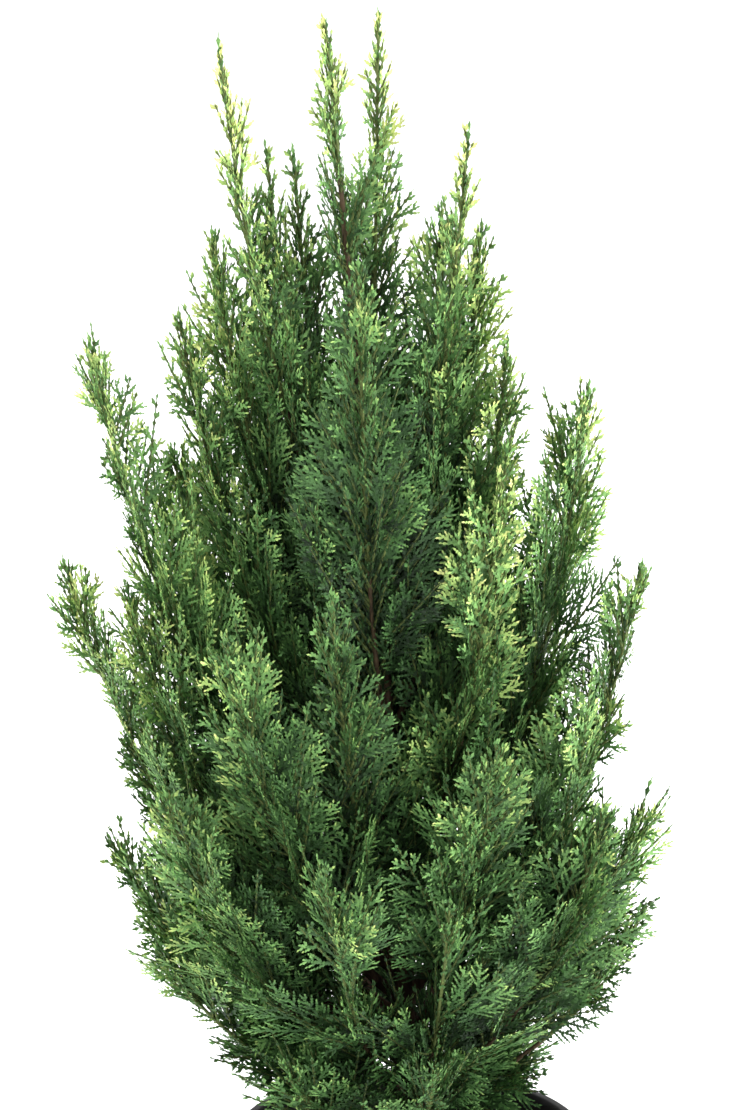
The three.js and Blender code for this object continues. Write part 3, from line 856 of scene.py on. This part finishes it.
def side_shoots(parents, plan, length_of, rng):
    """Shoots on alternate sides of each parent, in its own sheet."""
    counts = np.maximum(1, (parents["length"] * (plan["last"] - plan["first"]) / plan["pitch"]).astype(int))
    rows, order = numbered(counts)
    place = (order + rng.uniform(*SHOOT_PLACES, len(rows))) / counts[rows]
    s = lerp(plan["first"], plan["last"], place)
    first_side = rng.integers(0, 2, len(counts))
    side = np.where((order + first_side[rows]) % 2, 1, -1)
    parent = chosen(parents, rows)
    origin, tangent, normal = along_shoot(parent, s)
    angle = np.radians(plan["angle"] + rng.uniform(-1, 1, len(rows)) * plan["angle_jitter"])[:, None]
    tilt = np.radians(rng.uniform(-1, 1, len(rows)) * plan["tilt"])[:, None]
    across = np.cross(normal, tangent)
    sideways = across * side[:, None] * np.cos(tilt) + normal * np.sin(tilt)
    direction = tangent * np.cos(angle) + sideways * np.sin(angle)
    child_across = unit(np.cross(normal, direction))
    length = length_of(parent["length"], s) * parent["width"] * rng.uniform(*SHOOT_LENGTHS, len(rows))
    bend = (tangent - direction * np.cos(angle)) * plan["forward"]
    # Shoots further along their parent are paler: partly newer growth, partly painted light over the painted
    # shade of the spray's inside
    tone = parent["tone"] + TONE["along"] * s + rng.uniform(-1, 1, len(rows)) * TONE["shoot_jitter"]
    return shoots(origin, direction, child_across, length, bend, tone)


def branchlet_length(parent_length, s):
    widest = SPRAY["half_width"] * (parent_length / SPRAY["longest"]) ** SPRAY["width_power"]
    profile = np.sin(math.pi * np.minimum(1, s + SPRAY["belly_shift"]) ** SPRAY["belly_power"])
    return np.maximum(LEAST_BRANCHLET, widest * profile / math.sin(math.radians(BRANCHLET["angle"])))


def twiglet_length(parent_length, s):
    plan = TWIGLET_LENGTH
    return np.clip(plan["share"] * (1 - s) * parent_length + plan["least"], plan["least"], plan["most"])


# Leaves, in pairs along every shoot
def leaf_pairs(shoot, kind):
    """Corner points of the leaf pairs, four a pair, and the tone of each pair."""
    pitch, leaf, half_width, ridge = LEAVES[kind]
    counts = np.maximum(2, np.round(shoot["length"] / pitch).astype(int))
    rows, order = numbered(counts)
    s = (order + PAIR_AT) / counts[rows]
    parent = chosen(shoot, rows)
    foot, tangent, normal = along_shoot(parent, s)
    across = np.cross(normal, tangent)
    facial = ((order % 2 == 1) & (kind in CROSSED))[:, None]
    sideways = np.where(facial, normal * FACIAL_SHARE, across)
    # Ridges stand on one face for two pairs, then on the other
    ridge_side = np.where(order % 4 % 3, 1, -1)[:, None]
    up = np.where(facial, across * FACIAL_SHARE, normal) * ridge_side
    size = (1 - SMALLER_TO_TIP * s)[:, None]
    ahead = tangent * leaf * size
    last = (order == counts[rows] - 1)[:, None]
    wing = sideways * half_width * size * np.where(last, END_WING, 1)
    shoulder = foot + ahead * WING_AT
    corners = np.stack([foot, shoulder - wing, foot + ahead + up * ridge * size, shoulder + wing], 1)
    # Pairs further along a shoot are paler: partly newer growth, partly painted light
    return corners, parent["tone"] + TONE["along"] * s


def leaf_pieces(corners, tones):
    """One or more joined pieces for each tone."""
    classes = np.clip(tones.astype(int), 0, len(TONES) - 1)
    most = MOST_TRIANGLES // 2  # pairs, of two triangles each
    made = []
    for tone, (name, colour) in enumerate(zip(TONE_NAMES, TONES)):
        material = leaf_material(f"{name} leaf green", colour)
        own = corners[classes == tone]
        for number, first in enumerate(range(0, len(own), most)):
            group = own[first : first + most]
            base = np.arange(len(group))[:, None] * 4
            faces = [base + [0, 2, 1], base + [0, 3, 2]]
            made.append(piece(f"leaves_{name}_{number}", group.reshape(-1, 3), faces, material))
    return made


# Wood
def wood_frames(limb, t):
    """Two directions square to a limb at shares t along it."""
    along = limb.along(t)
    beside = np.tile(limb.beside, (len(t), 1))
    return np.cross(beside, along), beside


def relief(sides, along, rng, depth):
    """Long shallow fissures, one row for each place along a limb: waves that run mostly lengthwise."""
    along = along[:, None]
    height = np.zeros((len(along), sides))
    for waves, pace, share in FISSURES:
        turn = along * pace * rng.choice([-1, 1]) + rng.uniform(0, PHASES)
        sway = RELIEF["sway"] * np.sin(along * pace * RELIEF["sway_pace"] + rng.uniform(0, PHASES))
        height += share * (1 - np.abs(np.sin(waves * ring_angles(sides)[None] / 2 + turn + sway)) * 2)
    return height * depth


def trunk_part(rng):
    heights = np.arange(TRUNK["foot"] - TRUNK["sunk"], TRUNK["top"], TRUNK["ring_pitch"])
    sides = TRUNK["sides"]
    base = trunk_radius(np.maximum(heights, TRUNK["foot"]))[:, None]
    flare = np.exp(-(heights - TRUNK["foot"]) / TRUNK["flare_height"])[:, None]
    lobe_angles = ring_angles(sides)[None] * TRUNK["lobes"] + TRUNK["lobe_turn"]
    lobes = TRUNK["lobe_depth"] * flare * np.sin(lobe_angles)
    depth_share = np.minimum(1, base / RELIEF["full_from_radius"])
    fissures = relief(sides, heights, rng, RELIEF["trunk"]) * depth_share
    across = np.tile([1.0, 0, 0], (len(heights), 1))
    over = np.tile([0, 1.0, 0], (len(heights), 1))
    return tube(trunk_centre(heights), base + lobes + fissures, across, over)


def bough_part(limb, rng):
    t = np.linspace(BOUGH["starts_at"], BOUGH["share"], BOUGH["rings"])
    radii = lerp(BOUGH["foot_radius"], BOUGH["tip_radius"], np.clip(t / BOUGH["share"], 0, 1))[:, None]
    radii = radii + relief(BOUGH["sides"], t * limb.length, rng, RELIEF["bough"])
    return tube(limb.at(t), radii, *wood_frames(limb, t))


def stem_part(limb, first, last, rng):
    t = np.linspace(first, last, STEM["rings"])
    taper = np.clip(t, 0, 1) ** STEM["taper_power"]
    radii = lerp(STEM["foot_radius"], STEM["tip_radius"], taper)[:, None]
    radii = radii + jitter(rng, STEM["rough"], (STEM["rings"], STEM["sides"]))
    return tube(limb.at(t), radii, *wood_frames(limb, t))


def axis_parts(sprays):
    """Thin three-sided twigs under the leaves of every spray."""
    count, rings, sides = len(sprays["length"]), AXIS["rings"], AXIS["sides"]
    rows = np.repeat(np.arange(count), rings)
    s = np.tile(np.linspace(0, AXIS["ends_at"], rings), count)
    points, tangent, normal = along_shoot(chosen(sprays, rows), s)
    radius = np.tile(np.linspace(AXIS["foot_radius"], AXIS["tip_radius"], rings), count)
    corners = points[:, None] + spokes(np.cross(normal, tangent), normal, sides) * radius[:, None, None]
    lower_rings = np.arange(count)[:, None] * rings + np.arange(rings - 1)
    return corners.reshape(-1, 3), [ring_walls(lower_rings.ravel() * sides, sides)]


# Pot and compost
def inner_radius(heights):
    """The pot's inside radius below its rim band."""
    neck = POT["rim_radius"] - POT["rim_step"] - POT["edge"] - POT["wall"]
    foot = POT["foot_radius"] - POT["wall"]
    return lerp(foot, neck, (heights - POT["floor"]) / (POT["height"] - POT["rim_band"] - POT["floor"]))


def pot_profile():
    """Up the outside from the middle of the underside, over the rim and down the inside to the floor."""
    height, rim, foot = POT["height"], POT["rim_radius"], POT["foot_radius"]
    wall, edge, band_foot = POT["wall"], POT["edge"], POT["height"] - POT["rim_band"]
    neck = rim - POT["rim_step"] - edge
    return [
        # Underside and foot
        (0, 0),
        (foot - 3, 0),
        (foot - 0.2, 0.3),
        (foot + 0.3, 2.2),
        (foot + 0.25, 4),
        # Wall, neck and rim band
        (neck - 0.6, band_foot - 4),
        (neck, band_foot - 1.2),
        (rim - edge, band_foot),
        # Lip
        (rim - 0.4, height - 2.4),
        (rim, height - 1.4),
        (rim - 0.3, height),
        (rim - wall - edge, height),
        # Inside and floor
        (rim - wall - 1.5 * edge, height - 1.6),
        (neck - wall + 0.4, band_foot + 1),
        (neck - wall, band_foot - 1),
        (foot - wall, POT["floor"]),
        (0, POT["floor"]),
    ]


def cut_drains(pot):
    """Round holes low in the wall, all round."""
    out = POT["foot_radius"] * MM
    bpy.ops.mesh.primitive_cylinder_add(
        vertices=DRAIN["sides"], radius=DRAIN["radius"] * MM, depth=DRAIN["depth"] * MM
    )
    cutter = bpy.context.object
    for turn in range(DRAIN["count"]):
        angle = (turn + 0.5) * 2 * math.pi / DRAIN["count"]
        cutter.location = (out * math.cos(angle), out * math.sin(angle), DRAIN["height"] * MM)
        cutter.rotation_euler = (0, math.pi / 2, angle)
        bpy.context.view_layer.update()
        drain = pot.modifiers.new("drain", "BOOLEAN")
        drain.object = cutter
        evaluated = pot.evaluated_get(bpy.context.evaluated_depsgraph_get())
        mesh = bpy.data.meshes.new_from_object(evaluated)
        pot.modifiers.clear()
        pot.data = mesh
    bpy.data.objects.remove(cutter)


def make_pot():
    points, faces = lathe(rounded(pot_profile(), POT["rounding"]), POT["sides"])
    pot = piece("pot_shell", points, faces, pot_material())
    cut_drains(pot)
    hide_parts("pot")


def soil_level(radius, edge):
    """Height of the compost: level round the trunk, then down to its edge."""
    share = np.clip((radius - SOIL["collar_radius"]) / (edge - SOIL["collar_radius"]), 0, 1)
    return SOIL["top"] - SOIL["edge_drop"] * share


def lumps(x, y, rng):
    """Heights about 0 at points of the compost's surface."""
    height = np.zeros_like(x)
    for pace, share in LUMPS["waves"]:
        a, b, c, d = rng.uniform(0, PHASES, 4)
        across = np.sin(x * pace + a + np.sin(y * pace + b))
        along = np.sin(y * pace * LUMPS["stretch"] + c + np.sin(x * pace + d))
        height += share * across * along
    return height


def make_soil():
    rng = np.random.default_rng(LUMPS["seed"])
    rings, sides = SOIL["rings"], SOIL["sides"]
    edge = inner_radius(SOIL["top"] - SOIL["edge_drop"]) - 2 * FIT_GAP
    radius = np.linspace(SOIL["first_radius"], edge, rings)
    surface = ring_points(radius, soil_level(radius, edge), sides)
    surface[:, 2] += lumps(surface[:, 0], surface[:, 1], rng) * LUMPS["height"]
    surface[:, 2] -= LUMPS["sunk"]
    foot_height = POT["floor"] + FIT_GAP
    foot_radius = inner_radius(foot_height) - 2 * FIT_GAP
    foot = ring_points(np.array([foot_radius]), np.array([foot_height]), sides)
    # The rings run outwards and then down, so their faces are turned over
    walls = ring_walls(np.arange(rings) * sides, sides)[:, [0, 3, 2, 1]]
    ends = np.array([np.arange(sides), (rings * sides + np.arange(sides))[::-1]])
    soil = piece("compost", np.concatenate([surface, foot]), [walls, ends], compost_material())
    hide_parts("soil")


def make_crumbs():
    """Loose crumbs of compost and bark on the surface: lumpy octahedra."""
    rng = np.random.default_rng(CRUMBS["seed"])
    count = CRUMBS["count"]
    reach = inner_radius(SOIL["top"] - SOIL["edge_drop"]) - CRUMBS["from_wall"]
    radius = reach * np.sqrt(rng.uniform(*CRUMBS["area_shares"], count))
    angle = rng.uniform(0, 2 * math.pi, count)
    level = soil_level(radius, reach) - CRUMBS["sunk"]
    centres = np.stack([radius * np.cos(angle), radius * np.sin(angle), level], -1)
    size = lerp(CRUMBS["smallest"], CRUMBS["largest"], rng.uniform(0, 1, count) ** CRUMBS["size_power"])
    axes = np.array([[1, 0, 0], [-1, 0, 0], [0, 1, 0], [0, -1, 0], [0, 0, 1], [0, 0, -1]], float)
    stretch = rng.uniform(*CRUMBS["stretch"], (count, len(axes), 1))
    turn = rng.uniform(0, 2 * math.pi, (count, 1))
    x, y, z = axes.T
    across = x * np.cos(turn) - y * np.sin(turn)
    over = x * np.sin(turn) + y * np.cos(turn)
    up = np.broadcast_to(z * CRUMBS["flatness"], across.shape)
    points = centres[:, None] + np.stack([across, over, up], -1) * stretch * size[:, None, None]
    upper = [[0, 2, 4], [2, 1, 4], [1, 3, 4], [3, 0, 4]]
    lower = [[2, 0, 5], [1, 2, 5], [3, 1, 5], [0, 3, 5]]
    faces = (np.arange(count)[:, None, None] * len(axes) + np.array(upper + lower)).reshape(-1, 3)
    piece("compost_crumbs", points.reshape(-1, 3), [faces], crumb_material(), smooth=False)


# Plant
def make_wood(limbs, rng):
    points, faces = joined([trunk_part(rng)] + [bough_part(limb, rng) for limb in limbs if limb.bough])
    wood = piece("trunk_and_boughs", points, faces, bark_material())
    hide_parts("trunk", *["bough_" + limb.name for limb in limbs if limb.bough])


def make_stems(limbs, green_twig, rng):
    """The plumes' stems, brown from the foot and green to the tip."""
    brown = [stem_part(limb, limb.start or STEM["starts_at"], STEM["green_from"], rng) for limb in limbs]
    points, faces = joined(brown)
    piece("plume_stems_brown", points, faces, twig_material("brown twig", *BROWN_TWIG))
    points, faces = joined([stem_part(limb, STEM["green_from"], STEM["ends_at"], rng) for limb in limbs])
    piece("plume_stems_green", points, faces, green_twig)


def make_foliage(limbs, green_twig, rng):
    """Sprays on every stem and on the trunk, their finer shoots, and leaves on all of these."""
    sprays = together([sprays_of(limb, index) for index, limb in enumerate(limbs + [leafy_trunk_limb()])])
    points, faces = axis_parts(sprays)
    piece("spray_twigs", points, faces, green_twig)
    branchlets = side_shoots(sprays, BRANCHLET, branchlet_length, rng)
    bearing = chosen(branchlets, branchlets["length"] > TWIGLET_LENGTH["parent_least"])
    twiglets = side_shoots(bearing, TWIGLET, twiglet_length, rng)
    stems = together([stem_shoots(limb) for limb in limbs])
    pairs = [
        leaf_pairs(stems, "stem"),
        leaf_pairs(sprays, "axis"),
        leaf_pairs(branchlets, "branchlet"),
        leaf_pairs(twiglets, "twiglet"),
    ]
    corners = np.concatenate([pair[0] for pair in pairs])
    tones = np.concatenate([pair[1] for pair in pairs])
    foliage = leaf_pieces(corners, tones)
    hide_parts(*["foliage_" + limb.name for limb in limbs])


def make_plant():
    limbs = [leader_limb()] + [limb_of(*plume) for plume in PLUMES]
    rng = np.random.default_rng(RULE["seed"])
    make_wood(limbs, rng)
    green_twig = twig_material("green twig", *GREEN_TWIG)
    make_stems(limbs, green_twig, rng)
    make_foliage(limbs, green_twig, rng)


# Stage, light and camera
def make_stage():
    reach, back, bend = SWEEP["reach"], SWEEP["back"], SWEEP["bend"]
    angles = np.linspace(SWEEP["bend_from"], math.pi / 2, SWEEP["bend_steps"])
    path = [(-reach, 0), (back, 0)]
    path += [(back + bend * math.sin(a), bend - bend * math.cos(a)) for a in angles]
    path += [(back + bend, SWEEP["top"])]
    vertices = [(side * reach, y, z) for y, z in path for side in (-1, 1)]
    quads = [(2 * i, 2 * i + 1, 2 * i + 3, 2 * i + 2) for i in range(len(path) - 1)]
    mesh = bpy.data.meshes.new("studio_sweep")
    mesh.from_pydata(vertices, [], quads)
    mesh.polygons.foreach_set("use_smooth", [True] * len(quads))
    mesh.materials.append(paper_material())
    sweep = bpy.data.objects.new("studio_sweep", mesh)
    bpy.context.scene.collection.objects.link(sweep)


def add_light(name, place, size, power):
    """A round lamp turned to the plant's middle."""
    data = bpy.data.lights.new(name, "AREA")
    data.shape = "DISK"
    data.size = size
    data.energy = power
    light = bpy.data.objects.new(name, data)
    light.location = place
    direction = np.array(LIT_POINT) - np.array(place)
    flat = math.hypot(direction[0], direction[1])
    light.rotation_euler = (math.atan2(flat, -direction[2]), 0, math.atan2(-direction[0], direction[1]))
    bpy.context.scene.collection.objects.link(light)


def make_air():
    """Even white light from all round."""
    world = bpy.data.worlds.new("studio_air")
    world.use_nodes = True
    background = world.node_tree.nodes["Background"]
    background.inputs["Color"].default_value = (1, 1, 1, 1)
    background.inputs["Strength"].default_value = AIR_LIGHT
    bpy.context.scene.world = world


def add_camera():
    data = bpy.data.cameras.new("front_camera")
    data.lens = CAMERA["lens"]
    data.sensor_width = CAMERA["sensor"]
    data.clip_end = CAMERA["metres_seen"]
    camera = bpy.data.objects.new("front_camera", data)
    camera.location = [c * MM for c in CAMERA["place"]]
    camera.rotation_euler = (math.radians(90 - CAMERA["pitch"]), 0, 0)
    bpy.context.scene.collection.objects.link(camera)
    bpy.context.scene.camera = camera


make_plant()
make_pot()
make_soil()
make_crumbs()
make_stage()
for light in LIGHTS:
    add_light(*light)
make_air()
bpy.context.scene.view_settings.view_transform = "Standard"
add_camera()
